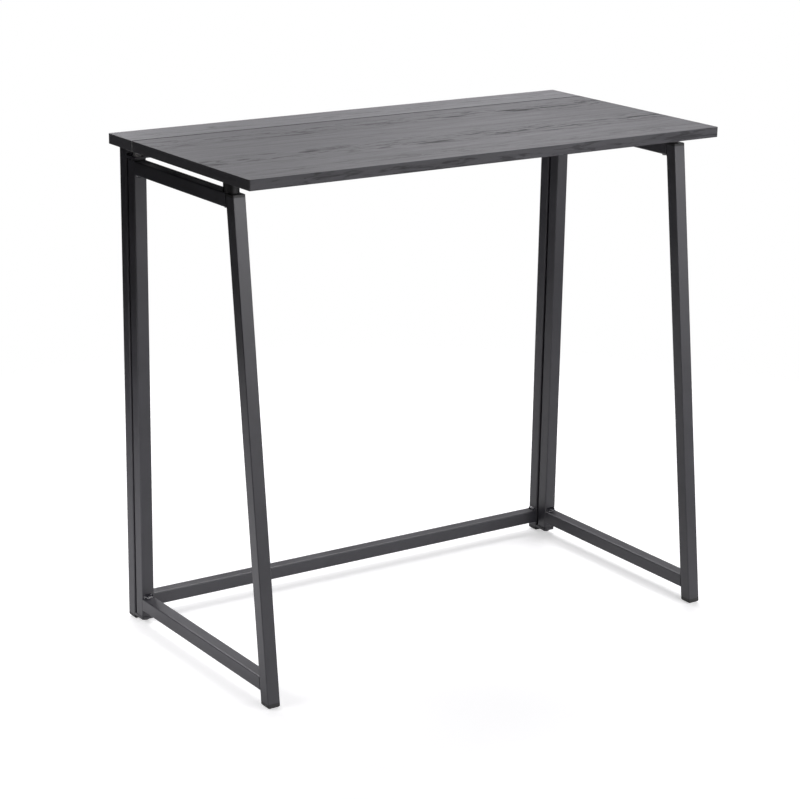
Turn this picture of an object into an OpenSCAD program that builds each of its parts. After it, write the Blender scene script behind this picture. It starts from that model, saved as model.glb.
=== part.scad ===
// Folding desk: a welded rear frame with a fixed rear board, two side frames that fold
// in flat against it, and a front board hinged to the rear one.
// Millimetres. +Z is up, the user sits on the -Y side, the origin is on the floor.

/* [Desktop] */
// Width of the desktop
top_w = 800; // [800:5:1200]
// Depth of the whole desktop, both boards and the seam
top_d = 399; // [350:1:460]
// Height of the desktop's upper face above the floor
desk_h = 739; // [600:1:800]
// Thickness of both boards
board_t = 15; // [12:0.5:20]
// Depth of the fixed rear board
strip_d = 72; // [68:1:110]
// Gap between the two boards
seam_gap = 1.4; // [1:0.1:2]
// Radius of the desktop's corners seen from above
corner_r = 2; // [1:0.5:8]

/* [Frame] */
// How far the desktop stands out past the frame at each side
side_overhang = 10; // [2:1:10]
// How far the desktop stands out behind the rear posts
rear_overhang = 14; // [4:1:30]
// Depth of the base, from the rear posts' back to the front feet
base_d = 414; // [340:1:414]
// Width of the square tube
tube = 20; // [18:0.5:25]
// Outer corner radius of the tube
tube_r = 2; // [1.5:0.1:3]
// Wall of the tube
tube_wall = 1.2; // [0.8:0.1:1.4]
// Gap between a side frame's top and the desktop's underside
top_gap = 17; // [14:0.5:30]
// How far each front leg leans back over its height
leg_setback = 90; // [40:1:130]
// Height of the rear bottom rail's underside above the floor
rear_rail_clear = 16; // [14:1:120]
// Height of the side bottom rails' underside above the floor
side_rail_clear = 22; // [14:1:120]
// Leg of the weld beads in the frames' corners
weld = 4.5; // [2:0.5:8]

/* [Fold pivots] */
// Gap between a rear post and the side post in front of it
post_gap = 5; // [4.3:0.1:12]
// Thickness of the pivot lugs
lug_t = 4; // [3:0.5:6]
// Corner radius of the pivot lugs
lug_r = 3; // [1:0.5:6]
// Leg of the weld beads on the upper pivot lugs
lug_weld = 2.5; // [1:0.5:4]
// Radius of the pivot bolts
bolt_r = 4; // [3:0.5:5]
// Radius of the pivot bolts' heads
bolt_head_r = 6.5; // [6:0.5:8]
// Height of the pivot bolts' heads
bolt_head_h = 3.2; // [2.5:0.1:3.5]
// Thickness of the nylon washers
washer_t = 0.8; // [0.5:0.1:1.5]
// Length of the threaded inserts in the side posts
insert_l = 30; // [20:1:45]
// Length of bolt in the threaded inserts
bolt_grip = 22; // [15:1:28]

/* [Desktop hinges] */
// Width of each hinge
hinge_w = 30; // [24:1:40]
// Length of a hinge leaf from the hinge axis
leaf_l = 25; // [20:0.5:28]
// Thickness of the hinge leaves
leaf_t = 1.5; // [1.2:0.1:2]
// Outer radius of the hinge knuckles
knuckle_r = 2.6; // [2.5:0.1:3.5]
// Radius of the hinge pins
hinge_pin_r = 1.5; // [1.2:0.1:1.8]
// Distance from the desktop's end to the outer hinges
hinge_inset = 3; // [1:1:60]
// Distance between the two screws of a leaf
leaf_screw_pitch = 16; // [14:1:18]

/* [Support pads] */
// Radius of a support pad
pad_r = 10; // [8:0.5:10]
// How far a pad reaches forward over the top of its leg
pad_lap = 11.5; // [4:0.5:14]
// Width of the tail that a pad is screwed down by
pad_tail_w = 10; // [7:0.5:14]
// Distance from the middle of a pad back to its screw
pad_screw_back = 14.5; // [13:0.5:30]

/* [Feet] */
// Height of the rear feet below their posts
rear_foot_h = 7.5; // [6:0.5:7.5]
// Height of the front feet below their legs
front_foot_h = 8; // [6:0.5:12]
// Rounding of the feet's lower edges
sole_r = 6; // [1:0.5:6]
// Height of the leg caps
cap_t = 4; // [2:0.5:5]
// Rounding of the leg caps' upper edges
cap_r = 1.5; // [0.5:0.5:1.5]
// Length of the stems that hold the feet and caps in the tubes
stem_l = 15; // [8:1:30]

/* [Screws] */
// Radius of the screws that hold the rear board
strip_screw_r = 2; // [1.5:0.1:2.5]
// Depth of those screws in the board
strip_screw_grip = 9; // [6:0.5:9.5]
// Distance between those screws
strip_screw_pitch = 200; // [100:5:220]
// Radius of the hinge screws
leaf_screw_r = 1.6; // [1.2:0.1:1.8]
// Depth of the hinge screws in the boards
leaf_screw_grip = 9; // [6:0.5:9.5]
// Radius of the screws that hold the pads
pad_screw_r = 2; // [1.8:0.1:2.4]
// Depth of those screws in the pads
pad_screw_grip = 11; // [6:0.5:11]
// Radius of the washers under the pad screws
pad_washer_r = 4.5; // [4:0.5:6]
// Thickness of the washers under the pad screws
pad_washer_t = 1; // [0.5:0.1:2]

/* [Hidden] */
$fn = 48;

left = -1;
right = 1;

// Clearances
pivot_gap = 0.2;      // between the lugs and what turns against them
run_fit = 0.05;       // radial, of a bolt or pin in its bore
plug_fit = 0.05;      // each side, of a plug in its tube
knuckle_gap = 0.3;    // between a hinge's knuckles, and over them
pad_gap = 0.3;        // between the pads and the front board
hole_fit = 0.3;       // radial, of a screw in a tube or leaf
pilot_fit = 0.05;     // radial, of a screw in its pilot hole
pilot_extra = 1;      // how much deeper a pilot hole is than its screw

// Screw heads: radius and height as multiples of the screw's radius
head_r_ratio = 1.9;
head_h_ratio = 1.1;
recess_w_ratio = 0.35;
head_taper = 0.8;

// Heights
underside_z = desk_h - board_t;
side_top_z = underside_z - top_gap;
lower_lug_top = rear_foot_h + lug_t;
side_post_z0 = lower_lug_top + pivot_gap + washer_t;
upper_lug_z0 = side_top_z + washer_t + pivot_gap;
upper_lug_top = upper_lug_z0 + lug_t;

// Plan positions: the whole depth is centred on the origin
depth_all = max(base_d + rear_overhang, top_d);
y_back = depth_all / 2;
half_w = top_w / 2 - side_overhang;
post_x = half_w - tube / 2;
rear_post_y = y_back - rear_overhang - tube / 2;
rear_post_front = rear_post_y - tube / 2;
side_post_y = rear_post_y - tube - post_gap;
side_post_front = side_post_y - tube / 2;
leg_foot_y = y_back - rear_overhang - base_d;

// The leaning front legs
lean = atan(leg_setback / side_top_z);
leg_run = tube / cos(lean);

// The desktop and its hinges
seam_y = y_back - strip_d;
panel_rear_y = seam_y - seam_gap;
panel_front_y = y_back - top_d;
hinge_y = seam_y - seam_gap / 2;
hinge_z = underside_z - knuckle_r - knuckle_gap;
hinge_xs = [-(top_w / 2 - hinge_inset - hinge_w / 2), 0, top_w / 2 - hinge_inset - hinge_w / 2];
leaf_screw_y = (leaf_l + knuckle_r) / 2;
strip_screw_count = 4;

// The support pads
pad_y = leg_rear_y(side_top_z) - pad_lap + pad_r;
pad_screw_y = pad_y + pad_screw_back;

// Inside of the tube
bore_w = tube - 2 * tube_wall;
bore_r = tube_r - tube_wall;

function leg_front_y(z) = leg_foot_y + z * tan(lean);
function leg_rear_y(z) = leg_front_y(z) + leg_run;

frame_colour = "dimgray";
board_colour = [0.25, 0.25, 0.26];
plastic_colour = [0.1, 0.1, 0.1];
steel_colour = [0.35, 0.35, 0.36];

// Plain shapes

module rounded_rect(w, d, r) {
    square([w - 2 * r, d], center = true);
    square([w, d - 2 * r], center = true);
    for (x = [-1, 1])
        for (y = [-1, 1])
            translate([x * (w / 2 - r), y * (d / 2 - r)])
                circle(r);
}

// A strip from y0 to y1 whose two corners at y0 are rounded
module front_rounded(w, y0, y1, r) {
    translate([-w / 2, y0 + r])
        square([w, y1 - y0 - r]);
    translate([-w / 2 + r, y0])
        square([w - 2 * r, y1 - y0]);
    for (x = [-1, 1])
        translate([x * (w / 2 - r), y0 + r])
            circle(r);
}

module tube_profile() {
    difference() {
        rounded_rect(tube, tube, tube_r);
        rounded_rect(bore_w, bore_w, bore_r);
    }
}

module plug_profile() {
    rounded_rect(bore_w - 2 * plug_fit, bore_w - 2 * plug_fit, bore_r);
}

// A block w by d by h on z = 0 whose lower edges are rounded all round
module soled_block(w, d, h, r) {
    intersection() {
        rotate([90, 0, 0])
            linear_extrude(2 * d, center = true)
                front_rounded(w, 0, h, r);
        rotate([90, 0, 90])
            linear_extrude(2 * w, center = true)
                front_rounded(d, 0, h, r);
        linear_extrude(h)
            square([w, d], center = true);
    }
}

// A pan head screw along +Z: its head hangs below z = 0 and its shank fills 0 to len
module pan_screw(r, len) {
    head_r = r * head_r_ratio;
    head_h = r * head_h_ratio;
    recess_w = r * recess_w_ratio;
    difference() {
        union() {
            translate([0, 0, -head_h])
                cylinder(h = head_h, r1 = head_r * head_taper, r2 = head_r);
            cylinder(h = len - r, r = r);
            translate([0, 0, len - r])
                cylinder(h = r, r1 = r, r2 = r / 4);
        }
        for (a = [0, 90])
            rotate([0, 0, a])
                translate([-head_r / 2, -recess_w / 2, -head_h - 1])
                    cube([head_r, recess_w, 1 + head_h / 2]);
    }
}

module mirrored(side) {
    if (side == left)
        children();
    else
        mirror([1, 0, 0])
            children();
}

// Rear frame

module rear_post(side) {
    color(frame_colour)
        translate([side * post_x, rear_post_y, rear_foot_h])
            linear_extrude(underside_z - rear_foot_h)
                tube_profile();
}

module rear_rail(z0) {
    translate([0, rear_post_y, z0 + tube / 2])
        rotate([0, 90, 0])
            linear_extrude(2 * post_x - tube, center = true)
                tube_profile();
}

module rear_top_rail() {
    color(frame_colour)
        difference() {
            rear_rail(underside_z - tube);
            for (x = strip_screw_xs())
                translate([x, rear_post_y, underside_z - 1.5 * tube])
                    cylinder(h = 2 * tube, r = strip_screw_r + hole_fit);
        }
}

module rear_bottom_rail() {
    color(frame_colour)
        rear_rail(rear_rail_clear);
}

// One weld bead: a corner point in the plane, the directions of its two legs and their length
module bead(corner, along, up, leg = weld) {
    linear_extrude(tube - 2 * tube_r, center = true)
        polygon([corner, corner + leg * along, corner + leg * up]);
}

module rear_frame_welds() {
    inner_x = post_x - tube / 2;
    color(frame_colour)
        for (side = [left, right])
            mirrored(side) {
                translate([0, rear_post_y, 0])
                    rotate([90, 0, 0]) {
                        bead([-inner_x, rear_rail_clear + tube], [1, 0], [0, 1]);
                        bead([-inner_x, underside_z - tube], [1, 0], [0, -1]);
                    }
                translate([-post_x, 0, 0])
                    rotate([90, 0, 90])
                        bead([rear_post_front, upper_lug_top], [-1, 0], [0, 1], lug_weld);
            }
}

function strip_screw_xs() = [
    for (i = [0 : strip_screw_count - 1])
        (i - (strip_screw_count - 1) / 2) * strip_screw_pitch
];

// A lug: a flat plate welded to the rear post's front, with the pivot's hole
module pivot_lug(side, z0) {
    color(frame_colour)
        translate([side * post_x, 0, z0])
            linear_extrude(lug_t)
                difference() {
                    front_rounded(tube, side_post_front, rear_post_front, lug_r);
                    translate([0, side_post_y])
                        circle(bolt_r + run_fit);
                }
}

module rear_foot(side) {
    color(plastic_colour)
        translate([side * post_x, rear_post_y, 0]) {
            intersection() {
                soled_block(tube, tube, rear_foot_h, sole_r);
                linear_extrude(rear_foot_h)
                    rounded_rect(tube, tube, tube_r);
            }
            translate([0, 0, rear_foot_h])
                linear_extrude(stem_l)
                    plug_profile();
        }
}

// Desktop

module desktop_part(y0, y1) {
    translate([0, 0, underside_z])
        linear_extrude(board_t)
            intersection() {
                translate([0, y_back - top_d / 2])
                    rounded_rect(top_w, top_d, corner_r);
                translate([-top_w, y0])
                    square([2 * top_w, y1 - y0]);
            }
}

// side is 1 for the leaves under the rear board and -1 for those under the front board
module leaf_screw_places(side) {
    for (x = hinge_xs)
        for (dx = [-0.5, 0.5])
            translate([x + dx * leaf_screw_pitch, hinge_y + side * leaf_screw_y, underside_z])
                children();
}

module leaf_pilot_holes(side) {
    leaf_screw_places(side)
        translate([0, 0, -1])
            cylinder(h = leaf_screw_grip + pilot_extra + 1, r = leaf_screw_r + pilot_fit);
}

module rear_board() {
    color(board_colour)
        difference() {
            desktop_part(seam_y, y_back);
            leaf_pilot_holes(1);
            for (x = strip_screw_xs())
                translate([x, rear_post_y, underside_z - 1])
                    cylinder(h = strip_screw_grip + pilot_extra + 1, r = strip_screw_r + pilot_fit);
        }
}

module front_board() {
    color(board_colour)
        difference() {
            desktop_part(panel_front_y, panel_rear_y);
            leaf_pilot_holes(-1);
        }
}

module rear_board_screws() {
    color(steel_colour)
        for (x = strip_screw_xs())
            translate([x, rear_post_y, underside_z - tube])
                pan_screw(strip_screw_r, tube + strip_screw_grip);
}

// Hinges: three knuckles each, the outer two on the fixed leaf and the middle one on the moving leaf

knuckle_pitch = hinge_w / 3;

module knuckle(i) {
    translate([(i - 1) * knuckle_pitch, hinge_y, hinge_z])
        rotate([0, 90, 0])
            cylinder(h = knuckle_pitch - knuckle_gap, r = knuckle_r, center = true);
}

// The tongue of a leaf that carries knuckle i, up to the hinge axis
module knuckle_tongue(i, side) {
    reach = knuckle_r + 2 * knuckle_gap;
    translate([
        (i - 1) * knuckle_pitch - (knuckle_pitch - knuckle_gap) / 2,
        side > 0 ? hinge_y : hinge_y - reach,
        underside_z - leaf_t
    ])
        cube([knuckle_pitch - knuckle_gap, reach, leaf_t - knuckle_gap]);
}

module hinge_leaf(x, side, knuckles) {
    clear = knuckle_r + knuckle_gap;
    color(steel_colour)
        translate([x, 0, 0])
            difference() {
                union() {
                    translate([-hinge_w / 2, side > 0 ? hinge_y + clear : hinge_y - leaf_l, underside_z - leaf_t])
                        cube([hinge_w, leaf_l - clear, leaf_t]);
                    for (i = knuckles) {
                        knuckle(i);
                        knuckle_tongue(i, side);
                    }
                }
                translate([0, hinge_y, hinge_z])
                    rotate([0, 90, 0])
                        cylinder(h = 2 * hinge_w, r = hinge_pin_r + run_fit, center = true);
                for (dx = [-0.5, 0.5])
                    translate([dx * leaf_screw_pitch, hinge_y + side * leaf_screw_y, underside_z - 2 * leaf_t])
                        cylinder(h = 3 * leaf_t, r = leaf_screw_r + hole_fit);
            }
}

module fixed_leaf(x) {
    hinge_leaf(x, 1, [0, 2]);
}

module moving_leaf(x) {
    hinge_leaf(x, -1, [1]);
}

module hinge_pins() {
    color(steel_colour)
        for (x = hinge_xs)
            translate([x, hinge_y, hinge_z])
                rotate([0, 90, 0])
                    cylinder(h = hinge_w - knuckle_gap, r = hinge_pin_r, center = true);
}

module leaf_screws(side) {
    color(steel_colour)
        leaf_screw_places(side)
            translate([0, 0, -leaf_t])
                pan_screw(leaf_screw_r, leaf_t + leaf_screw_grip);
}

// Side frames, drawn at the left and mirrored for the right

module side_post(side) {
    color(frame_colour)
        mirrored(side)
            translate([-post_x, side_post_y, side_post_z0])
                linear_extrude(side_top_z - side_post_z0)
                    tube_profile();
}

// A solid along the leaning leg with the profile given as a child, between two heights
module leg_solid(z0, z1) {
    over = 2 * tube;
    intersection() {
        translate([-post_x, leg_foot_y + leg_run / 2, 0])
            rotate([-lean, 0, 0])
                translate([0, 0, -over])
                    linear_extrude(side_top_z / cos(lean) + 2 * over)
                        children();
        translate([-post_x - tube, leg_foot_y - tube, z0])
            cube([2 * tube, leg_setback + 4 * tube, z1 - z0]);
    }
}

// Everything in front of the leg's rear face
module before_leg_rear() {
    translate([-post_x, leg_foot_y + leg_run, 0])
        rotate([-lean, 0, 0])
            translate([-tube, -base_d, -tube])
                cube([2 * tube, base_d, desk_h + 2 * tube]);
}

module front_leg(side) {
    color(frame_colour)
        mirrored(side)
            leg_solid(front_foot_h, side_top_z - cap_t)
                tube_profile();
}

module side_rail(z0) {
    difference() {
        translate([-post_x, side_post_front, z0 + tube / 2])
            rotate([90, 0, 0])
                linear_extrude(side_post_front - leg_foot_y)
                    tube_profile();
        before_leg_rear();
    }
}

module top_rail(side) {
    color(frame_colour)
        mirrored(side)
            difference() {
                side_rail(side_top_z - tube);
                translate([-post_x, pad_screw_y, side_top_z - 1.5 * tube])
                    cylinder(h = 2 * tube, r = pad_screw_r + hole_fit);
            }
}

module bottom_rail(side) {
    color(frame_colour)
        mirrored(side)
            side_rail(side_rail_clear);
}

module frame_welds(side) {
    up_leg = [sin(lean), cos(lean)];
    low_z = side_rail_clear + tube;
    high_z = side_top_z - tube;
    color(frame_colour)
        mirrored(side)
            translate([-post_x, 0, 0])
                rotate([90, 0, 90]) {
                    bead([side_post_front, low_z], [-1, 0], [0, 1]);
                    bead([side_post_front, high_z], [-1, 0], [0, -1]);
                    bead([leg_rear_y(low_z), low_z], [1, 0], up_leg);
                    bead([leg_rear_y(high_z), high_z], [1, 0], -up_leg);
                }
}

module leg_cap(side) {
    z0 = side_top_z - cap_t;
    run = leg_run + cap_t * tan(lean);
    color(plastic_colour)
        mirrored(side) {
            intersection() {
                leg_solid(z0, side_top_z)
                    rounded_rect(tube, tube, tube_r);
                translate([-post_x, leg_front_y(z0) + run / 2, side_top_z])
                    mirror([0, 0, 1])
                        soled_block(tube, run, cap_t, cap_r);
            }
            leg_solid(z0 - stem_l, z0)
                plug_profile();
        }
}

module front_foot(side) {
    run = leg_run + front_foot_h * tan(lean);
    color(plastic_colour)
        mirrored(side) {
            intersection() {
                leg_solid(0, front_foot_h)
                    rounded_rect(tube, tube, tube_r);
                translate([-post_x, leg_foot_y + run / 2, 0])
                    soled_block(tube, run, front_foot_h, sole_r);
            }
            leg_solid(front_foot_h, front_foot_h + stem_l)
                plug_profile();
        }
}

module insert_at(side, z0) {
    color(plastic_colour)
        mirrored(side)
            translate([-post_x, side_post_y, z0])
                linear_extrude(insert_l)
                    difference() {
                        plug_profile();
                        circle(bolt_r + run_fit);
                    }
}

// A bolt whose shank goes up from z = 0 and whose head is below it
module pivot_bolt() {
    len = lug_t + 2 * pivot_gap + washer_t + bolt_grip;
    difference() {
        union() {
            translate([0, 0, -bolt_head_h])
                cylinder(h = bolt_head_h, r1 = bolt_head_r * head_taper, r2 = bolt_head_r);
            cylinder(h = len, r = bolt_r);
        }
        translate([0, 0, -bolt_head_h - 1])
            cylinder(h = 1 + bolt_head_h / 2, r = bolt_r / 2, $fn = 6);
    }
}

module upper_pivot_bolt(side) {
    color(steel_colour)
        mirrored(side)
            translate([-post_x, side_post_y, upper_lug_top + pivot_gap])
                mirror([0, 0, 1])
                    pivot_bolt();
}

module lower_pivot_bolt(side) {
    color(steel_colour)
        mirrored(side)
            translate([-post_x, side_post_y, rear_foot_h - pivot_gap])
                pivot_bolt();
}

module pivot_washers(side) {
    color(plastic_colour)
        mirrored(side)
            for (z = [side_post_z0 - washer_t, side_top_z])
                translate([-post_x, side_post_y, z])
                    linear_extrude(washer_t)
                        difference() {
                            circle(bore_w / 2);
                            circle(bolt_r + hole_fit);
                        }
}

// A pad seen from above: a round with a narrower tail behind it
module pad_profile() {
    translate([0, pad_y])
        circle(pad_r);
    translate([-pad_tail_w / 2, pad_y])
        square([pad_tail_w, pad_screw_back]);
    translate([0, pad_screw_y])
        circle(pad_tail_w / 2);
}

module support_pad(side) {
    height = top_gap - pad_gap;
    color(plastic_colour)
        mirrored(side)
            translate([-post_x, 0, side_top_z])
                difference() {
                    linear_extrude(height)
                        pad_profile();
                    translate([0, pad_screw_y, -1])
                        cylinder(h = pad_screw_grip + pilot_extra + 1, r = pad_screw_r + pilot_fit);
                }
}

module pad_screw(side) {
    color(steel_colour)
        mirrored(side)
            translate([-post_x, pad_screw_y, side_top_z - tube - pad_washer_t])
                pan_screw(pad_screw_r, pad_washer_t + tube + pad_screw_grip);
}

module pad_washer(side) {
    color(steel_colour)
        mirrored(side)
            translate([-post_x, pad_screw_y, side_top_z - tube - pad_washer_t])
                linear_extrude(pad_washer_t)
                    difference() {
                        circle(pad_washer_r);
                        circle(pad_screw_r + hole_fit);
                    }
}

// Rear frame and rear board
rear_post(left);  // rear_post_left
rear_post(right);  // rear_post_right
rear_top_rail();
rear_bottom_rail();
rear_frame_welds();
pivot_lug(left, upper_lug_z0);  // upper_pivot_lug_left
pivot_lug(right, upper_lug_z0);  // upper_pivot_lug_right
pivot_lug(left, rear_foot_h);  // lower_pivot_lug_left
pivot_lug(right, rear_foot_h);  // lower_pivot_lug_right
rear_foot(left);  // rear_foot_left
rear_foot(right);  // rear_foot_right
rear_board();
rear_board_screws();
fixed_leaf(hinge_xs[0]);  // hinge_fixed_leaf_left
fixed_leaf(hinge_xs[1]);  // hinge_fixed_leaf_centre
fixed_leaf(hinge_xs[2]);  // hinge_fixed_leaf_right
hinge_pins();
leaf_screws(1);  // hinge_fixed_leaf_screws

// Front board
front_board();
moving_leaf(hinge_xs[0]);  // hinge_moving_leaf_left
moving_leaf(hinge_xs[1]);  // hinge_moving_leaf_centre
moving_leaf(hinge_xs[2]);  // hinge_moving_leaf_right
leaf_screws(-1);  // hinge_moving_leaf_screws

// Left side frame
side_post(left);  // left_side_post
top_rail(left);  // left_top_rail
bottom_rail(left);  // left_bottom_rail
front_leg(left);  // left_front_leg
frame_welds(left);  // left_frame_welds
leg_cap(left);  // left_leg_cap
front_foot(left);  // left_front_foot
insert_at(left, side_top_z - insert_l);  // left_upper_insert
insert_at(left, side_post_z0);  // left_lower_insert
upper_pivot_bolt(left);  // left_upper_pivot_bolt
lower_pivot_bolt(left);  // left_lower_pivot_bolt
pivot_washers(left);  // left_pivot_washers
support_pad(left);  // left_support_pad
pad_screw(left);  // left_pad_screw
pad_washer(left);  // left_pad_washer

// Right side frame
side_post(right);  // right_side_post
top_rail(right);  // right_top_rail
bottom_rail(right);  // right_bottom_rail
front_leg(right);  // right_front_leg
frame_welds(right);  // right_frame_welds
leg_cap(right);  // right_leg_cap
front_foot(right);  // right_front_foot
insert_at(right, side_top_z - insert_l);  // right_upper_insert
insert_at(right, side_post_z0);  // right_lower_insert
upper_pivot_bolt(right);  // right_upper_pivot_bolt
lower_pivot_bolt(right);  // right_lower_pivot_bolt
pivot_washers(right);  // right_pivot_washers
support_pad(right);  // right_support_pad
pad_screw(right);  // right_pad_screw
pad_washer(right);  // right_pad_washer
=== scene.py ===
import math

import bmesh
import bpy
from mathutils import Matrix, Vector, noise


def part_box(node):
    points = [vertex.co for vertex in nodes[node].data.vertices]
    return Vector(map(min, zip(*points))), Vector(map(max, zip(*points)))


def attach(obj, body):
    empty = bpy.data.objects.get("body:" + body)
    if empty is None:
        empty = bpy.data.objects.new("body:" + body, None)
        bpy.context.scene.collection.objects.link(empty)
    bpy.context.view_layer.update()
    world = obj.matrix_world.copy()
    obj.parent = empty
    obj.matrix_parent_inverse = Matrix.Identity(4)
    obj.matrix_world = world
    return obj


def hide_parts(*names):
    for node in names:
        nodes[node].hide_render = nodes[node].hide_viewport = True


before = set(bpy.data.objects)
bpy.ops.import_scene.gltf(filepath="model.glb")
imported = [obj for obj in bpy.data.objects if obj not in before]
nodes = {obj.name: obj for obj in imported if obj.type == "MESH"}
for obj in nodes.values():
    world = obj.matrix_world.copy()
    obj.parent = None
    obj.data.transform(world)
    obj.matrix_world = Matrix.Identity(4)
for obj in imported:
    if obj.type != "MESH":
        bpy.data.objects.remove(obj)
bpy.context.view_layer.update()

MM = 0.001
WHITE = (1, 1, 1, 1)

UP = Vector((0, 0, 1))
FORWARD = Vector((0, -1, 0))
TO_BACK = Vector((0, 1, 0))


def add_object(name, data):
    obj = bpy.data.objects.new(name, data)
    bpy.context.scene.collection.objects.link(obj)
    return obj


def direction(azimuth, elevation):
    """The unit vector at an azimuth, from the front towards the right, and an elevation."""
    return Vector((
        math.sin(azimuth) * math.cos(elevation),
        -math.cos(azimuth) * math.cos(elevation),
        math.sin(elevation),
    ))


# Camera: at the photograph's viewing angle, for an image of 800 by 800

IMAGE_SIZE = 800
FOCAL_PX = 2315.0
# The pixel that the line of sight passes through
CENTRE_PX = (350.0, 430.0)
CAMERA_PLACE = Vector((-1.8944, -2.7372, 1.3241))
CAMERA_AZIMUTH = math.radians(-32.932)
CAMERA_ELEVATION = math.radians(17.339)
CAMERA_ROLL = math.radians(0.545)
SENSOR_MM = 36.0


def make_camera():
    back = direction(CAMERA_AZIMUTH, CAMERA_ELEVATION)
    level_right = (-back).cross(UP).normalized()
    level_up = level_right.cross(-back)
    right = level_right * math.cos(CAMERA_ROLL) + level_up * math.sin(CAMERA_ROLL)
    up = back.cross(right)
    data = bpy.data.cameras.new("camera")
    data.sensor_width = SENSOR_MM
    data.lens = SENSOR_MM * FOCAL_PX / IMAGE_SIZE
    data.shift_x = 0.5 - CENTRE_PX[0] / IMAGE_SIZE
    data.shift_y = CENTRE_PX[1] / IMAGE_SIZE - 0.5
    camera = add_object("camera", data)
    turn = Matrix((right, up, back)).transposed().to_4x4()
    camera.matrix_world = Matrix.Translation(CAMERA_PLACE) @ turn
    bpy.context.scene.camera = camera


make_camera()


# Material helpers

# Nearly all of a noise's values lie between these two
NOISE_LOW = 0.3
NOISE_HIGH = 0.7
NO_TINT = (1.0, 1.0, 1.0)
# The sockets that a Mix node uses for vectors
MIX_VECTOR_A = 4
MIX_VECTOR_B = 5
MIX_VECTOR_RESULT = 1


def grey(value, tint=NO_TINT):
    return (value * tint[0], value * tint[1], value * tint[2], 1)


class Graph:
    """A material's tree, with a method for each kind of node that it gets."""

    def __init__(self, name):
        self.material = bpy.data.materials.new(name)
        self.material.use_nodes = True
        self.tree = self.material.node_tree
        self.shader = self.tree.nodes["Principled BSDF"]
        self.coords = self.tree.nodes.new("ShaderNodeTexCoord")
        self.place = self.coords.outputs["Object"]

    def node(self, kind, **settings):
        made = self.tree.nodes.new("ShaderNode" + kind)
        for key, value in settings.items():
            setattr(made, key, value)
        return made

    def link(self, source, target):
        self.tree.links.new(source, target)

    def feed(self, socket, value):
        """Links the socket if value is a node's output, and sets it if it is a number or colour."""
        if hasattr(value, "is_linked"):
            self.link(value, socket)
        else:
            socket.default_value = value

    def axes(self, vector):
        made = self.node("SeparateXYZ")
        self.link(vector, made.inputs["Vector"])
        return made.outputs["X"], made.outputs["Y"], made.outputs["Z"]

    def vector(self, x, y, z):
        made = self.node("CombineXYZ")
        for socket, value in zip(made.inputs, (x, y, z)):
            self.link(value, socket)
        return made.outputs["Vector"]

    def noise(self, vector, scale, detail, roughness, distortion=0.0):
        made = self.node("TexNoise")
        self.link(vector, made.inputs["Vector"])
        made.inputs["Scale"].default_value = scale
        made.inputs["Detail"].default_value = detail
        made.inputs["Roughness"].default_value = roughness
        made.inputs["Distortion"].default_value = distortion
        return made.outputs["Fac"]

    def stretched_noise(self, vector, along, across, offset=(0, 0, 0), **texture):
        """Noise with one scale along X and another along Y and Z."""
        mapping = self.node("Mapping")
        self.link(vector, mapping.inputs["Vector"])
        mapping.inputs["Scale"].default_value = (along, across, across)
        mapping.inputs["Location"].default_value = offset
        return self.noise(mapping.outputs["Vector"], 1.0, **texture)

    def math(self, operation, a, b=0.0, c=0.0, clamp=False):
        made = self.node("Math", operation=operation, use_clamp=clamp)
        for socket, value in zip(made.inputs, (a, b, c)):
            self.feed(socket, value)
        return made.outputs["Value"]

    def ramp(self, value, stops):
        made = self.node("ValToRGB")
        elements = made.color_ramp.elements
        while len(elements) < len(stops):
            elements.new(0.5)
        for element, (place, colour) in zip(elements, stops):
            element.position = place
            element.color = colour
        self.link(value, made.inputs["Fac"])
        return made.outputs["Color"]

    def range(self, value, low, high, to_low=0.0, to_high=1.0):
        made = self.node("MapRange")
        self.feed(made.inputs["Value"], value)
        for name, number in (
            ("From Min", low), ("From Max", high), ("To Min", to_low), ("To Max", to_high),
        ):
            made.inputs[name].default_value = number
        return made.outputs["Result"]

    def multiply(self, factor, colour, by):
        made = self.node("MixRGB", blend_type="MULTIPLY")
        for socket, value in zip(made.inputs, (factor, colour, by)):
            self.feed(socket, value)
        return made.outputs["Color"]

    def bump(self, height, distance, strength, normal=None):
        made = self.node("Bump")
        self.link(height, made.inputs["Height"])
        made.inputs["Distance"].default_value = distance
        made.inputs["Strength"].default_value = strength
        if normal is not None:
            self.link(normal, made.inputs["Normal"])
        return made.outputs["Normal"]

    def colour(self, source):
        self.link(source, self.shader.inputs["Base Color"])

    def grey_colour(self, value, dark, light, tint=NO_TINT):
        """Colours the surface from dark to light as a noise's value rises."""
        self.colour(self.ramp(value, [(NOISE_LOW, grey(dark, tint)), (NOISE_HIGH, grey(light, tint))]))

    def roughness(self, value, at_low, at_high):
        self.link(
            self.range(value, NOISE_LOW, NOISE_HIGH, at_low, at_high), self.shader.inputs["Roughness"],
        )

    def normal(self, source):
        self.link(source, self.shader.inputs["Normal"])

    def specular(self, level):
        self.shader.inputs["Specular IOR Level"].default_value = level


# Powder coat: satin black with orange peel and a faint cloudiness

COAT_DARK = 0.023
COAT_LIGHT = 0.030
COAT_TINT = (1.03, 1.0, 1.25)
COAT_SPECULAR = 0.88
COAT_CLOUD = dict(scale=14.0, detail=4.0, roughness=0.6)
COAT_PEEL = dict(scale=900.0, detail=2.0, roughness=0.5)
COAT_PEEL_BUMP = dict(distance=0.08 * MM, strength=0.6)
COAT_DUST = dict(scale=2600.0, detail=1.0, roughness=0.5)
COAT_DUST_BUMP = dict(distance=0.03 * MM, strength=0.5)


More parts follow.
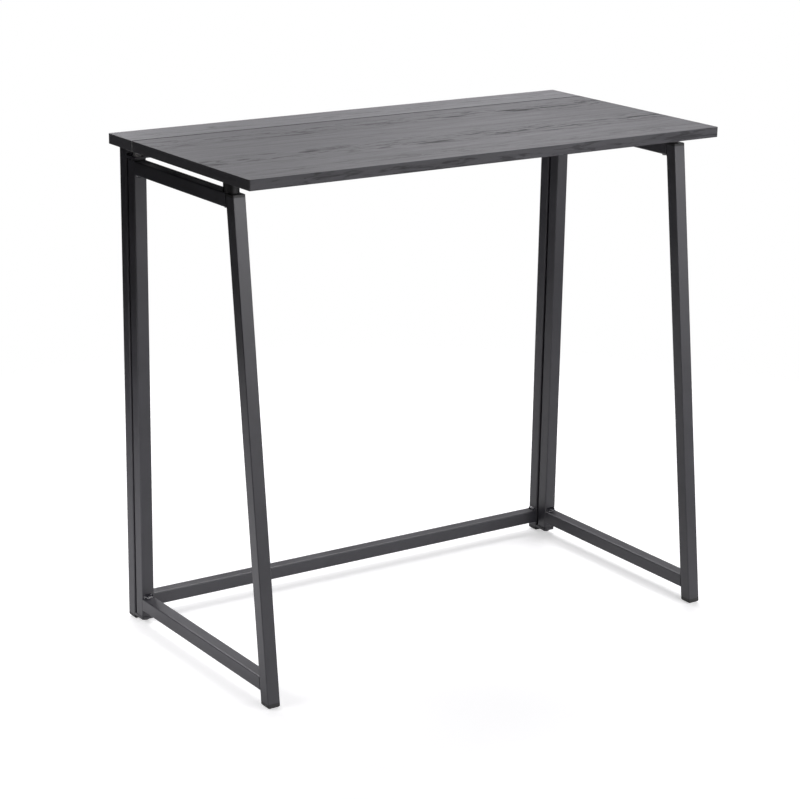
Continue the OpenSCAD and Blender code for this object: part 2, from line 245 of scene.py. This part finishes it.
def powder_coat(name, smooth=0.38, rough=0.46):
    g = Graph(name)
    cloud = g.noise(g.place, **COAT_CLOUD)
    g.grey_colour(cloud, COAT_DARK, COAT_LIGHT, COAT_TINT)
    g.roughness(cloud, smooth, rough)
    dust = g.bump(g.noise(g.place, **COAT_DUST), **COAT_DUST_BUMP)
    g.normal(g.bump(g.noise(g.place, **COAT_PEEL), **COAT_PEEL_BUMP, normal=dust))
    g.specular(COAT_SPECULAR)
    return g.material


# Laminate: charcoal wood grain that runs along the desktop, and along its depth on the two ends

GRAIN_DARK = 0.050
GRAIN_MID = 0.066
GRAIN_LIGHT = 0.074
GRAIN_STOPS = (0.28, 0.46, 0.68)
GRAIN_TINT = (1.0, 0.985, 1.085)
# Painted light: the desktop's top faces are painted this much lighter than its edges and ends, for the
# light that falls on them
TOP_PAINTED_LIGHT = 1.27
# Painted light: the rear board is a lighter copy of the laminate, for the brighter light on it
REAR_BOARD_PAINTED_LIGHT = 1.2
REAR_BOARD_GLOSS = 0.66
# How squarely a surface faces along X or Y to count as an end or edge, and up to count as the top
EDGE_FACING = 0.7
TOP_FACING = 0.5

# Layers of the grain, each a noise that is drawn out along it
GRAIN_DRIFT = dict(along=1.6, across=6.0, detail=2.0, roughness=0.5)
DRIFT_DEPTH = 0.30
GRAIN_STREAKS = dict(
    along=5.0, across=95.0, offset=(0.0, 1.7, 0.0), detail=4.0, roughness=0.62, distortion=0.4,
)
GRAIN_LINES = dict(
    along=10.0, across=100.0, offset=(2.3, 0.4, 0.0), detail=4.0, roughness=0.65, distortion=1.3,
)
LINES_RANGE = (0.545, 0.610)
GRAIN_FLECKS = dict(
    along=30.0, across=190.0, offset=(0.9, 3.1, 0.0), detail=2.0, roughness=0.6, distortion=0.6,
)
FLECKS_RANGE = (0.585, 0.665)
GRAIN_PORES = dict(along=40.0, across=800.0, detail=2.0, roughness=0.6)
PORES_RANGE = (0.55, 0.72)

# Where the darker figure runs along the desktop: place in Y, half-width and strength
FIGURES = ((0.088, 0.022, 1.0), (-0.062, 0.026, 1.0), (-0.150, 0.016, 0.45), (0.175, 0.012, 0.35))
FIGURE_WANDER = dict(along=3.0, across=0.0, detail=2.0, roughness=0.5)
FIGURE_WANDER_WIDTH = 0.05
EDGE_FIGURE = 0.42
# Knots that the grain flows round: place in X and Y, half-length and half-width
KNOTS = ((-0.225, -0.052, 0.034, 0.010), (0.112, 0.082, 0.045, 0.009), (-0.035, -0.078, 0.060, 0.008))
# How far the grain moves aside there, as a share of the half-width, and how far out the dark core reaches
KNOT_PUSH = 0.55
KNOT_CORE = 0.35

# How strongly lines and flecks mark the surface: their share of the figure, and what they have without it
LINES_MARK = (0.88, 0.08)
FLECKS_MARK = (0.65, 0.12)
KNOT_MARK = 0.9
MARK_COLOUR = 0.18
MARK_ROUGHNESS = 0.40
MARK_BUMP = dict(distance=0.22 * MM, strength=0.9)
PORE_MARK = 0.20
PORE_COLOUR = 0.4
GRAIN_ROUGHNESS = (0.58, 0.485)
GRAIN_BUMP = dict(distance=0.09 * MM, strength=0.8)
STREAKS_HEIGHT = 0.5


def grain_place(g):
    """The place that the grain is drawn by, and how far the surface faces along Y and up.

    The place is in object coordinates, turned on the desktop's two ends so that the grain runs along
    the depth there.
    """
    facing_x, facing_y, facing_z = g.axes(g.coords.outputs["Normal"])
    on_end = g.math("GREATER_THAN", g.math("ABSOLUTE", facing_x), EDGE_FACING)
    x, y, z = g.axes(g.place)
    pick = g.node("Mix", data_type="VECTOR")
    g.link(on_end, pick.inputs["Factor"])
    g.link(g.place, pick.inputs[MIX_VECTOR_A])
    g.link(g.vector(y, z, x), pick.inputs[MIX_VECTOR_B])
    return pick.outputs[MIX_VECTOR_RESULT], facing_y, facing_z


def round_knots(g, along):
    """Pushes the grain apart round each knot; returns the new place and how deep in a knot it is."""
    x, y, z = g.axes(along)
    push, core = 0.0, 0.0
    for knot_x, knot_y, half_x, half_y in KNOTS:
        dx = g.math("DIVIDE", g.math("SUBTRACT", x, knot_x), half_x)
        dy = g.math("DIVIDE", g.math("SUBTRACT", y, knot_y), half_y)
        reach = g.math("ADD", g.math("MULTIPLY", dx, dx), g.math("MULTIPLY", dy, dy))
        fall = g.math("EXPONENT", g.math("MULTIPLY", reach, -0.5))
        away = g.math("MULTIPLY", g.math("MULTIPLY", dy, fall), -KNOT_PUSH * half_y)
        push = g.math("ADD", away, push)
        core = g.math("ADD", g.range(reach, 0.0, KNOT_CORE, 1.0, 0.0), core)
    return g.vector(x, g.math("ADD", y, push), z), core


def figure_strength(g, along, facing_y):
    """How strong the darker figure is: in bands that wander slowly along the board, even on edges."""
    wander = g.math("SUBTRACT", g.stretched_noise(along, **FIGURE_WANDER), 0.5)
    y = g.math("MULTIPLY_ADD", wander, FIGURE_WANDER_WIDTH, g.axes(along)[1])
    figure = 0.0
    for middle, half, strength in FIGURES:
        off = g.math("DIVIDE", g.math("SUBTRACT", y, middle), half)
        bell = g.math("EXPONENT", g.math("MULTIPLY", g.math("MULTIPLY", off, off), -1.0))
        figure = g.math("MULTIPLY_ADD", bell, strength, figure, clamp=True)
    on_edge = g.math("GREATER_THAN", g.math("ABSOLUTE", facing_y), EDGE_FACING)
    return g.math("MAXIMUM", figure, g.math("MULTIPLY", on_edge, EDGE_FIGURE))


def laminate(name, painted_lightness=1.0, gloss=0.42):
    g = Graph(name)
    along, facing_y, facing_z = grain_place(g)
    along, core = round_knots(g, along)
    figure = figure_strength(g, along, facing_y)

    drift = g.stretched_noise(along, **GRAIN_DRIFT)
    streaks = g.stretched_noise(along, **GRAIN_STREAKS)
    lines = g.range(g.stretched_noise(along, **GRAIN_LINES), *LINES_RANGE)
    flecks = g.range(g.stretched_noise(along, **GRAIN_FLECKS), *FLECKS_RANGE)
    pores = g.range(g.stretched_noise(along, **GRAIN_PORES), *PORES_RANGE)

    marked = g.math("MULTIPLY", lines, g.math("MULTIPLY_ADD", figure, *LINES_MARK))
    marked = g.math("MAXIMUM", marked, g.math("MULTIPLY", core, KNOT_MARK))
    flecked = g.math("MULTIPLY", flecks, g.math("MULTIPLY_ADD", figure, *FLECKS_MARK))
    marked = g.math("MAXIMUM", marked, flecked)

    tone = g.math("MULTIPLY_ADD", g.math("SUBTRACT", drift, 0.5), DRIFT_DEPTH, streaks)
    shades = (GRAIN_DARK, GRAIN_MID, GRAIN_LIGHT)
    # On the rear board the shades are raised as painted light
    colour = g.ramp(
        tone, [(stop, grey(shade * painted_lightness, GRAIN_TINT)) for stop, shade in zip(GRAIN_STOPS, shades)],
    )
    # Painted light: faces that look up are painted lighter than the edges and ends
    colour = g.multiply(g.math("GREATER_THAN", facing_z, TOP_FACING), colour, grey(TOP_PAINTED_LIGHT))
    colour = g.multiply(marked, colour, grey(MARK_COLOUR))
    g.colour(g.multiply(g.math("MULTIPLY", pores, PORE_MARK), colour, grey(PORE_COLOUR)))

    dull = g.range(tone, NOISE_LOW, NOISE_HIGH, *GRAIN_ROUGHNESS)
    g.link(
        g.math("MULTIPLY_ADD", marked, MARK_ROUGHNESS, dull, clamp=True), g.shader.inputs["Roughness"],
    )
    height = g.math("SUBTRACT", g.math("MULTIPLY", streaks, STREAKS_HEIGHT), pores)
    grain = g.bump(height, **GRAIN_BUMP)
    g.normal(g.bump(g.math("SUBTRACT", 1.0, marked), **MARK_BUMP, normal=grain))
    g.specular(gloss)
    return g.material


# Seam strip: painted shade, dead black where the boards meet, for the shadow in the narrow gap so that it
# reads as a dark line, and pale on the board ends

BAND_SCUFF = dict(along=12.0, across=400.0, detail=3.0, roughness=0.6)
BAND_ROUGHNESS = (0.95, 0.80)


def seam_strip(name, dark, light, gloss):
    g = Graph(name)
    scuff = g.stretched_noise(g.place, **BAND_SCUFF)
    g.grey_colour(scuff, dark, light)
    g.roughness(scuff, *BAND_ROUGHNESS)
    g.specular(gloss)
    return g.material


# Moulded plastic: fine spark texture

PLASTIC_CLOUD = dict(scale=60.0, detail=3.0, roughness=0.5)
PLASTIC_SPARK = dict(scale=2200.0, detail=3.0, roughness=0.6)
SPARK_ROUGHNESS = 0.06
SPARK_BUMP = dict(distance=0.04 * MM, strength=0.7)


def plastic(name, dark, light, roughness):
    g = Graph(name)
    g.grey_colour(g.noise(g.place, **PLASTIC_CLOUD), dark, light)
    spark = g.noise(g.place, **PLASTIC_SPARK)
    g.roughness(spark, roughness - SPARK_ROUGHNESS, roughness + SPARK_ROUGHNESS)
    g.normal(g.bump(spark, **SPARK_BUMP))
    return g.material


# Zinc: metal with drawn lines and a little wear

ZINC_LINES = dict(along=2400.0, across=260.0, detail=2.0, roughness=0.6)
ZINC_WEAR = dict(scale=320.0, detail=4.0, roughness=0.65)
WEAR_SHARE = 0.7
ZINC_STOPS = (0.32, 0.62)
ZINC_DARK_TINT = (1, 1, 1.03)
ZINC_LIGHT_TINT = (1.02, 1, 0.97)
ZINC_ROUGHNESS = (0.46, 0.30)
ZINC_BUMP = dict(distance=0.02 * MM, strength=0.5)


def zinc(name, dark, light):
    g = Graph(name)
    lines = g.stretched_noise(g.place, **ZINC_LINES)
    wear = g.noise(g.place, **ZINC_WEAR)
    mixed = g.math("MULTIPLY_ADD", wear, WEAR_SHARE, g.math("MULTIPLY", lines, 1 - WEAR_SHARE))
    shades = (grey(dark, ZINC_DARK_TINT), grey(light, ZINC_LIGHT_TINT))
    g.colour(g.ramp(mixed, list(zip(ZINC_STOPS, shades))))
    g.shader.inputs["Metallic"].default_value = 1.0
    g.roughness(mixed, *ZINC_ROUGHNESS)
    g.normal(g.bump(lines, **ZINC_BUMP))
    return g.material


MATERIALS = {
    "coat": powder_coat("satin_powder_coat"),
    "bead_coat": powder_coat("powder_coat_on_beads", smooth=0.18, rough=0.28),
    "laminate": laminate("charcoal_laminate"),
    # Painted light: a lighter copy of the laminate for the rear board
    "rear_laminate": laminate("charcoal_laminate_painted_lighter", REAR_BOARD_PAINTED_LIGHT, REAR_BOARD_GLOSS),
    # Painted shade for the gap at the seam, and the pale colour of that strip on the board ends
    "seam_strip": seam_strip("painted_seam_shade", dark=0.002, light=0.004, gloss=0.05),
    "band_end": seam_strip("pale_seam_strip_end", dark=0.50, light=0.62, gloss=0.5),
    "black_plastic": plastic("black_moulded_plastic", dark=0.012, light=0.020, roughness=0.48),
    "grey_plastic": plastic("grey_moulded_plastic", dark=0.024, light=0.030, roughness=0.44),
    "nylon": plastic("nylon", dark=0.20, light=0.24, roughness=0.50),
    "zinc": zinc("black_zinc", dark=0.10, light=0.20),
    "bright_zinc": zinc("bright_zinc", dark=0.36, light=0.54),
}

# A node has the material of the first word here that is in its name, and otherwise the powder coat
MATERIAL_WORDS = (
    ("hinge", "bright_zinc"),
    ("pivot_bolt", "bright_zinc"),
    ("screw", "zinc"),
    ("pad_washer", "zinc"),
    ("pivot_washers", "nylon"),
    ("front_foot", "grey_plastic"),
    ("rear_foot", "black_plastic"),
    # The leg caps are black plastic, and their black also stands in as painted shade for the desktop's
    # shadow on the leg tops
    ("leg_cap", "black_plastic"),
    ("insert", "black_plastic"),
    ("support_pad", "black_plastic"),
    ("front_board", "laminate"),
    ("rear_board", "rear_laminate"),
)

# Its arrises have the radius of the first word here that is in its name, and otherwise stay as they are
ROUNDING_WORDS = (
    ("rear_board_screws", 0.0),
    ("_screw", 0.15 * MM),
    ("pivot_lug", 0.5 * MM),
    ("support_pad", 0.8 * MM),
    ("pad_washer", 0.2 * MM),
    ("leaf", 0.2 * MM),
    ("bolt", 0.25 * MM),
)
ROUNDING_STEPS = 3
# Points closer than this are one point
SAME_PLACE = 0.001 * MM
SHARP_ANGLE = math.radians(32)


def of_first_word(name, table, otherwise):
    return next((value for word, value in table if word in name), otherwise)


def even_normals(obj):
    obj.modifiers.new("normals", "WEIGHTED_NORMAL")


def round_arrises(obj, radius):
    join = obj.modifiers.new("join", "WELD")
    join.merge_threshold = SAME_PLACE
    bevel = obj.modifiers.new("arris", "BEVEL")
    bevel.width = radius
    bevel.segments = ROUNDING_STEPS
    bevel.limit_method = "ANGLE"
    bevel.angle_limit = SHARP_ANGLE
    even_normals(obj)


for node_name, obj in nodes.items():
    obj.data.materials.clear()
    obj.data.materials.append(MATERIALS[of_first_word(node_name, MATERIAL_WORDS, "coat")])
    radius = of_first_word(node_name, ROUNDING_WORDS, 0.0)
    if radius > 0:
        round_arrises(obj, radius)


# Boards: each is a rounded slab, with a strip of painted shade on the side that faces the seam

BOARD_CORNER = 2.0 * MM
CORNER_STEPS = 8
BOARD_ARRIS = 0.4 * MM
ARRIS_STEPS = 4
BAND_THICKNESS = 0.8 * MM
# The profile of a bevel that is an arc of a circle
CIRCULAR = 0.5
# Places of the band's materials among a board's
BAND_SLOT = 1
BAND_END_SLOT = 2


def round_edges(mesh, edges, radius, steps):
    bmesh.ops.bevel(
        mesh, geom=edges, offset=radius, offset_type="OFFSET", segments=steps, profile=CIRCULAR,
        affect="EDGES",
    )


def add_board(name, node_name, body, material, gap_side):
    """gap_side is +1 or -1: which way along Y the board faces the seam."""
    low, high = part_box(node_name)
    mesh = bmesh.new()
    bmesh.ops.create_cube(mesh, size=1.0)
    for vert in mesh.verts:
        for axis in range(3):
            vert.co[axis] = high[axis] if vert.co[axis] > 0 else low[axis]
    seam, outer = (high.y, low.y) if gap_side > 0 else (low.y, high.y)
    corners = [
        edge for edge in mesh.edges
        if all(abs(vert.co.y - outer) < SAME_PLACE for vert in edge.verts)
        and abs(edge.verts[0].co.x - edge.verts[1].co.x) < SAME_PLACE
    ]
    round_edges(mesh, corners, BOARD_CORNER, CORNER_STEPS)
    arrises = [edge for edge in mesh.edges if edge.calc_face_angle(0.0) > SHARP_ANGLE]
    round_edges(mesh, arrises, BOARD_ARRIS, ARRIS_STEPS)
    joint = seam - gap_side * BAND_THICKNESS
    everything = mesh.verts[:] + mesh.edges[:] + mesh.faces[:]
    bmesh.ops.bisect_plane(mesh, geom=everything, plane_co=(0, joint, 0), plane_no=TO_BACK)
    bmesh.ops.recalc_face_normals(mesh, faces=mesh.faces)
    # The cut leaves the faces in an order that changes from run to run
    for index, face in enumerate(sorted(mesh.faces, key=lambda face: face.calc_center_median()[:])):
        face.index = index
    mesh.faces.sort()
    for face in mesh.faces:
        face.smooth = True
        # The strip by the seam gets the painted seam shade, and the pale colour where it faces along X
        if (face.calc_center_median().y - joint) * gap_side > 0:
            face.material_index = BAND_END_SLOT if abs(face.normal.x) > EDGE_FACING else BAND_SLOT
    data = bpy.data.meshes.new(name)
    mesh.to_mesh(data)
    mesh.free()
    for key in (material, "seam_strip", "band_end"):
        data.materials.append(MATERIALS[key])
    obj = add_object(name, data)
    even_normals(obj)
    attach(obj, body)
    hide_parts(node_name)


add_board("front_board_laminated", "front_board", "front_board_assembly", "laminate", 1)
add_board("rear_board_laminated", "rear_board", "rear_frame_assembly", "rear_laminate", -1)


# Weld beads: each is a rippled fillet across an inner corner of two tubes

TUBE = 20 * MM
BEAD_WIDTH = 16.5 * MM
BEAD_LEG = 4.5 * MM
# The bead between a side post and its bottom rail is the one that shows, and it is the fullest
FULL_BEAD_LEG = 6.0 * MM
LUG_BEAD_LEG = 2.5 * MM
BEAD_BURIED = 0.4 * MM
# How far a bead's face stands out, as a share of its leg
BEAD_BULGE = 0.15
# How squarely its two ends stop: the higher the power, the later they round off
BEAD_END_POWER = 6
BEAD_ROUND_STEPS = 12
BEAD_STEPS_PER_MM = 4
# Ripples: their length and depth, and how far the middle of one lags behind its two ends
BEAD_RIPPLE = 1.9 * MM
BEAD_RIPPLE_DEPTH = 0.22 * MM
BEAD_RIPPLE_LAG = 0.55 * MM
# Wandering of the whole bead, and lumps on it: their depths, and how often they come per metre
BEAD_WANDER = 0.35 * MM
WANDER_RATE = 180
BEAD_LUMPS = 0.55 * MM
LUMP_RATE = 420
LUMPS_ACROSS = 4
SEED_STEP = 3.7


def bead_mesh(corner, arm_a, arm_b, leg, seed):
    """A bead whose middle is at corner, and whose two legs point along arm_a and arm_b."""
    mesh = bmesh.new()
    inward = (arm_a + arm_b).normalized()
    axis = arm_a.cross(arm_b).normalized()
    steps = int(BEAD_WIDTH / MM * BEAD_STEPS_PER_MM)
    rings = []
    for i in range(steps + 1):
        t = i / steps
        x = (t - 0.5) * BEAD_WIDTH
        end_fall = math.sqrt(max(0.0, 1 - (2 * abs(t - 0.5)) ** BEAD_END_POWER))
        lean = noise.noise(Vector((x * WANDER_RATE, seed * SEED_STEP, 0))) * BEAD_WANDER
        ring = []
        for j in range(BEAD_ROUND_STEPS + 1):
            s = j / BEAD_ROUND_STEPS
            sweep = math.sin(math.pi * s)
            phase = (x - BEAD_RIPPLE_LAG * sweep) / BEAD_RIPPLE * math.pi
            ripple = abs(math.sin(phase)) * BEAD_RIPPLE_DEPTH * sweep
            rough = noise.noise(Vector((x * LUMP_RATE, s * LUMPS_ACROSS, seed))) * BEAD_LUMPS * sweep
            base = corner + arm_a * leg * (1 - s) * end_fall + arm_b * leg * s * end_fall
            lift = (BEAD_BULGE * leg * sweep + ripple + rough) * end_fall + lean * sweep
            ring.append(mesh.verts.new(base + inward * lift + axis * x))
        ring.append(mesh.verts.new(corner - inward * BEAD_BURIED + axis * x))
        rings.append(ring)
    count = len(rings[0])
    for a, b in zip(rings, rings[1:]):
        for j in range(count):
            k = (j + 1) % count
            mesh.faces.new((a[j], a[k], b[k], b[j]))
    mesh.faces.new(rings[0][::-1])
    mesh.faces.new(rings[-1])
    bmesh.ops.recalc_face_normals(mesh, faces=mesh.faces)
    for face in mesh.faces:
        face.smooth = True
    return mesh


def add_beads(name, node_name, body, places):
    """places: (corner, arm_a, arm_b, leg) for each bead."""
    joined = bmesh.new()
    for index, place in enumerate(places):
        one = bead_mesh(*place, seed=index + len(name))
        data = bpy.data.meshes.new("bead")
        one.to_mesh(data)
        one.free()
        joined.from_mesh(data)
        bpy.data.meshes.remove(data)
    data = bpy.data.meshes.new(name)
    joined.to_mesh(data)
    joined.free()
    data.materials.append(MATERIALS["bead_coat"])
    obj = add_object(name, data)
    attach(obj, body)
    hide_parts(node_name)


LEAN_ROUNDS = 20


def lean_of(side):
    """The angle of a front leg from upright, from its box: depth = run + width / cos."""
    low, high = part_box(side + "_front_leg")
    rise, depth = high.z - low.z, high.y - low.y
    angle = 0.0
    for _ in range(LEAN_ROUNDS):
        angle = math.atan2(depth - TUBE / math.cos(angle), rise)
    return angle


def side_bead_places(side):
    post_low, post_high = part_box(side + "_side_post")
    leg_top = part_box(side + "_front_leg")[1]
    x = (post_low.x + post_high.x) / 2
    low_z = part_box(side + "_bottom_rail")[1].z
    high_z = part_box(side + "_top_rail")[0].z
    lean = lean_of(side)
    up_leg = Vector((0, math.sin(lean), math.cos(lean)))

    def leg_corner(z):
        return Vector((x, leg_top.y - (leg_top.z - z) * math.tan(lean), z))

    return [
        (Vector((x, post_low.y, low_z)), FORWARD, UP, FULL_BEAD_LEG),
        (Vector((x, post_low.y, high_z)), FORWARD, -UP, BEAD_LEG),
        (leg_corner(low_z), TO_BACK, up_leg, BEAD_LEG),
        (leg_corner(high_z), TO_BACK, -up_leg, BEAD_LEG),
    ]


def rear_bead_places():
    low_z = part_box("rear_bottom_rail")[1].z
    high_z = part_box("rear_top_rail")[0].z
    places = []
    for side in ("left", "right"):
        post_low, post_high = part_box("rear_post_" + side)
        lug_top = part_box("upper_pivot_lug_" + side)[1].z
        x = (post_low.x + post_high.x) / 2
        y = (post_low.y + post_high.y) / 2
        to_middle = Vector((-math.copysign(1, x), 0, 0))
        inner = x + to_middle.x * TUBE / 2
        places += [
            (Vector((inner, y, low_z)), to_middle, UP, BEAD_LEG),
            (Vector((inner, y, high_z)), to_middle, -UP, BEAD_LEG),
            (Vector((x, post_low.y, lug_top)), FORWARD, UP, LUG_BEAD_LEG),
        ]
    return places


for side in ("left", "right"):
    add_beads(side + "_weld_beads", side + "_frame_welds", side + "_side_frame", side_bead_places(side))
add_beads("rear_weld_beads", "rear_frame_welds", "rear_frame_assembly", rear_bead_places())


# Floor: pale, and fading into the white background round the desk

FLOOR_SIZE = 4.0
FLOOR_DARK = 0.79
FLOOR_LIGHT = 0.81
FLOOR_CLOUD = dict(scale=3.0, detail=3.0, roughness=0.5)
FLOOR_ROUGHNESS = 0.9
# The floor turns clear between these two distances from the middle
FLOOR_FADE = (1.05, 1.55)
# What the camera sees on the floor above its own light, so that it comes near the white background
FLOOR_LIFT = 0.5


def floor_material():
    g = Graph("pale_floor")
    g.grey_colour(g.noise(g.place, **FLOOR_CLOUD), FLOOR_DARK, FLOOR_LIGHT)
    g.shader.inputs["Roughness"].default_value = FLOOR_ROUGHNESS
    g.shader.inputs["Emission Color"].default_value = WHITE
    seen = g.node("LightPath").outputs["Is Camera Ray"]
    g.link(g.math("MULTIPLY", seen, FLOOR_LIFT), g.shader.inputs["Emission Strength"])
    reach = g.node("VectorMath", operation="LENGTH")
    g.link(g.place, reach.inputs[0])
    fade = g.node("MapRange", interpolation_type="SMOOTHSTEP")
    g.link(reach.outputs["Value"], fade.inputs["Value"])
    fade.inputs["From Min"].default_value, fade.inputs["From Max"].default_value = FLOOR_FADE
    clear = g.node("BsdfTransparent")
    mix = g.node("MixShader")
    sources = (fade.outputs["Result"], g.shader.outputs["BSDF"], clear.outputs["BSDF"])
    for source, socket in zip(sources, mix.inputs):
        g.link(source, socket)
    g.link(mix.outputs["Shader"], g.tree.nodes["Material Output"].inputs["Surface"])
    return g.material


bpy.ops.mesh.primitive_plane_add(size=FLOOR_SIZE)
floor = bpy.context.object
floor.name = "floor"
floor.data.materials.append(floor_material())


# Light: soft boxes, each by the point that it aims at, its azimuth, elevation and distance from there,
# its size and its power

DESK = (0, 0, 0.45)
FLOOR_AT_LEFT = (-1, 0, 0)
LOW_ON_DESK = (0, 0, 0.1)
LIGHT_COLOUR = (0.985, 0.975, 1.0)
SOFT_BOXES = (
    ("box_back_right", DESK, 135, 55, 3.0, 1.3, 52.0),
    ("box_back", DESK, 180, 30, 3.0, 1.3, 39.0),
    ("box_front_low", DESK, 0, 8, 3.0, 1.3, 22.0),
    ("box_right_front", DESK, 45, 8, 3.0, 1.3, 13.5),
    ("box_right_low", DESK, 135, 30, 3.0, 1.3, 7.3),
    ("box_near", DESK, 20.3, 23.0, 1.54, 0.6, 6.2),
    ("box_over_floor", FLOOR_AT_LEFT, 0, 90, 0.5, 0.5, 4.8),
    ("box_left_low", LOW_ON_DESK, 245, 1, 1.43, 0.25, 0.6),
)


def soft_box(name, aim, azimuth, elevation, distance, size, power):
    away = direction(math.radians(azimuth), math.radians(elevation))
    data = bpy.data.lights.new(name, "AREA")
    data.shape = "SQUARE"
    data.size = size
    data.energy = power
    data.color = LIGHT_COLOUR
    lamp = add_object(name, data)
    lamp.location = Vector(aim) + away * distance
    lamp.rotation_euler = (-away).to_track_quat("-Z", "Y").to_euler()
    lamp.visible_camera = False


for box in SOFT_BOXES:
    soft_box(*box)

# The camera sees a white background, which lights the desk only a little
WORLD_SEEN = 1.0
WORLD_FILL = 0.02


def make_world():
    world = bpy.data.worlds.new("studio")
    world.use_nodes = True
    tree = world.node_tree
    seen = tree.nodes["Background"]
    fill = tree.nodes.new("ShaderNodeBackground")
    path = tree.nodes.new("ShaderNodeLightPath")
    mix = tree.nodes.new("ShaderNodeMixShader")
    for background, strength in ((seen, WORLD_SEEN), (fill, WORLD_FILL)):
        background.inputs["Color"].default_value = WHITE
        background.inputs["Strength"].default_value = strength
    sources = (path.outputs["Is Camera Ray"], fill.outputs["Background"], seen.outputs["Background"])
    for source, socket in zip(sources, mix.inputs):
        tree.links.new(source, socket)
    tree.links.new(mix.outputs["Shader"], tree.nodes["World Output"].inputs["Surface"])
    bpy.context.scene.world = world


make_world()
bpy.context.scene.view_settings.view_transform = "Standard"
